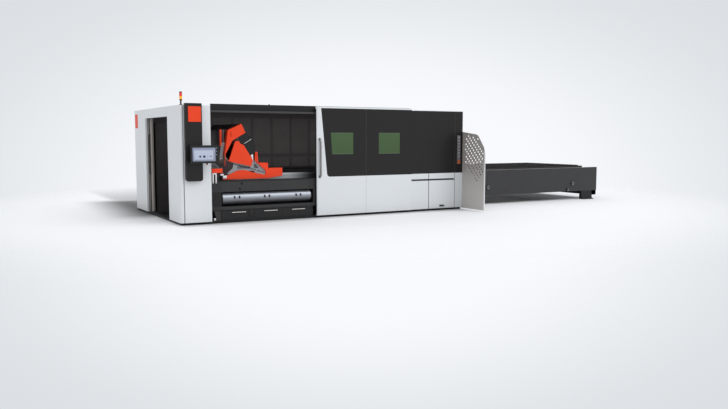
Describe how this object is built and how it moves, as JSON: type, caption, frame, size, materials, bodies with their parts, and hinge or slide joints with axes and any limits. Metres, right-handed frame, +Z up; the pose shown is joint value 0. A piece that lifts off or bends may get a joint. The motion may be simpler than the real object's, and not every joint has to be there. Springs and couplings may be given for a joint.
{
  "type": "fiber laser cutting machine",
  "caption": "Enclosed fiber laser sheet cutter with sliding front door, telescopic side door, travelling gantry, drawers, swivelling screen and a shuttle table with exchange pallets",
  "frame": {"origin": "on the floor, under the middle of the whole machine's bounding box", "axes": "+X runs along the front from the cabin's left end towards the shuttle table, +Y runs back into the cabin from the operator's side, +Z is up"},
  "size_m": [12.345, 4.71, 2.667],
  "materials": {
    "cover_white": "satin",
    "panel_graphite": "gloss",
    "frame_black": "satin",
    "frame_charcoal": "satin",
    "accent_orange": "satin",
    "window_green": "smooth",
    "bare_steel": "brushed",
    "casting_grey": "machined",
    "fence_grey": "satin",
    "inner_dark": "satin",
    "black_plastic": "fine texture",
    "display_glass": "smooth",
    "stop_orange": "smooth",
    "lens_amber": "translucent",
    "lens_red": "translucent",
    "strip_grey": "satin"
  },
  "bodies": {
    "machine": {"plinth": "frame_black", "column_cover": "cover_white", "left_side_wall": "cover_white", "rear_wall": "cover_white", "roof": "cover_white", "header_beam": "cover_white", "door_rail": "bare_steel", "front_wall": "inner_dark", "right_upper_panel": "panel_graphite", "right_lower_panel": "cover_white", "right_end_wall": "cover_white", "button_strip": "strip_grey", "light_fence": "fence_grey", "bed_front_beam": "frame_charcoal", "bed_rear_beam": "frame_charcoal", "bed_cross_bars": "frame_charcoal", "bed_feet": "frame_black", "x_rails": "bare_steel", "exhaust_duct": "bare_steel", "drawer_housing": "frame_charcoal", "table_side_front": "frame_charcoal", "table_side_rear": "frame_charcoal", "table_cross_members": "frame_charcoal", "table_feet": "frame_black", "pallet_rails": "bare_steel", "side_door_rail": "bare_steel", "electrical_cabinet": "inner_dark", "laser_source": "frame_charcoal", "console_housing": "panel_graphite", "accent_plates": "accent_orange", "tower_stem": "black_plastic", "tower_amber_lamp": "lens_amber", "tower_red_lamp": "lens_red"},
    "front_door": {"front_door_frame": "cover_white", "front_door_panel": "panel_graphite", "front_door_windows": "window_green", "front_door_handle": "black_plastic"},
    "side_door_leading": {"side_door_lead": "cover_white", "side_door_handle": "black_plastic"},
    "side_door_trailing": {"side_door_trail": "cover_white"},
    "gantry": {"gantry_beam": "casting_grey", "gantry_castings": "casting_grey", "gantry_arm_cover": "accent_orange", "gantry_end_shields": "accent_orange", "gantry_hood": "frame_black", "gantry_skirt": "accent_orange"},
    "carriage": {"y_carriage": "frame_charcoal"},
    "head": {"cutting_head": "bare_steel"},
    "pallet_above": {"upper_pallet": "bare_steel"},
    "pallet_below": {"lower_pallet": "bare_steel"},
    "left_drawer": {"drawer_left": "frame_charcoal"},
    "middle_drawer": {"drawer_middle": "frame_charcoal"},
    "right_drawer": {"drawer_right": "frame_charcoal"},
    "flap": {"service_flap": "cover_white"},
    "arm": {"screen_arm": "frame_black"},
    "screen": {"screen_housing": "frame_black", "screen_display": "display_glass"},
    "strip_stop": {"strip_stop_plate": "stop_orange"},
    "screen_stop": {"screen_stop_button": "stop_orange"},
    "gate": {"shuttle_gate": "accent_orange"}
  },
  "joints": [
    {"name": "front_door_slide", "type": "slide", "parent": "machine", "child": "front_door", "axis": [1, 0, 0], "range_m": [-2.366, 0]},
    {"name": "side_door_lead_slide", "type": "slide", "parent": "machine", "child": "side_door_leading", "axis": [0, -1, 0], "range_m": [0, 1.836]},
    {"name": "side_door_trail_slide", "type": "slide", "parent": "machine", "child": "side_door_trailing", "axis": [0, -1, 0], "range_m": [0, 0.918]},
    {"name": "gantry_travel", "type": "slide", "parent": "machine", "child": "gantry", "axis": [1, 0, 0], "range_m": [0, 4.3]},
    {"name": "carriage_travel", "type": "slide", "parent": "gantry", "child": "carriage", "axis": [0, 1, 0], "range_m": [-1.1, 1.1]},
    {"name": "head_lift", "type": "slide", "parent": "carriage", "child": "head", "axis": [0, 0, -1], "range_m": [0, 0.11]},
    {"name": "upper_pallet_travel", "type": "slide", "parent": "machine", "child": "pallet_above", "axis": [1, 0, 0], "range_m": [-5.9, 0]},
    {"name": "lower_pallet_travel", "type": "slide", "parent": "machine", "child": "pallet_below", "axis": [1, 0, 0], "range_m": [0, 5.9]},
    {"name": "left_drawer_slide", "type": "slide", "parent": "machine", "child": "left_drawer", "axis": [0, -1, 0], "range_m": [0, 0.45]},
    {"name": "middle_drawer_slide", "type": "slide", "parent": "machine", "child": "middle_drawer", "axis": [0, -1, 0], "range_m": [0, 0.45]},
    {"name": "right_drawer_slide", "type": "slide", "parent": "machine", "child": "right_drawer", "axis": [0, -1, 0], "range_m": [0, 0.45]},
    {"name": "flap_hinge", "type": "hinge", "parent": "machine", "child": "flap", "pos_m": [0.2425, -1.486, 0.723], "axis": [-1, 0, 0], "range_deg": [0, 85]},
    {"name": "screen_swivel", "type": "hinge", "parent": "machine", "child": "arm", "pos_m": [-5.8675, -1.675, 1.43], "axis": [0, 0, 1], "range_deg": [-25, 15]},
    {"name": "screen_tilt", "type": "hinge", "parent": "arm", "child": "screen", "pos_m": [-5.733, -1.764, 1.43], "axis": [-1, 0, 0], "range_deg": [-10, 25]},
    {"name": "strip_stop_press", "type": "slide", "parent": "machine", "child": "strip_stop", "axis": [0, 1, 0], "range_m": [0, 0.004], "stiffness_N_per_m": 600},
    {"name": "screen_stop_press", "type": "slide", "parent": "screen", "child": "screen_stop", "axis": [0, 0, 1], "range_m": [0, 0.004], "stiffness_N_per_m": 600},
    {"name": "gate_drop", "type": "slide", "parent": "machine", "child": "gate", "axis": [0, 0, -1], "range_m": [0, 0.56]}
  ],
  "couplings": [
    {"joint": "side_door_trail_slide", "follows": "side_door_lead_slide", "ratio": 0.5},
    {"joint": "lower_pallet_travel", "follows": "upper_pallet_travel", "ratio": -1}
  ]
}
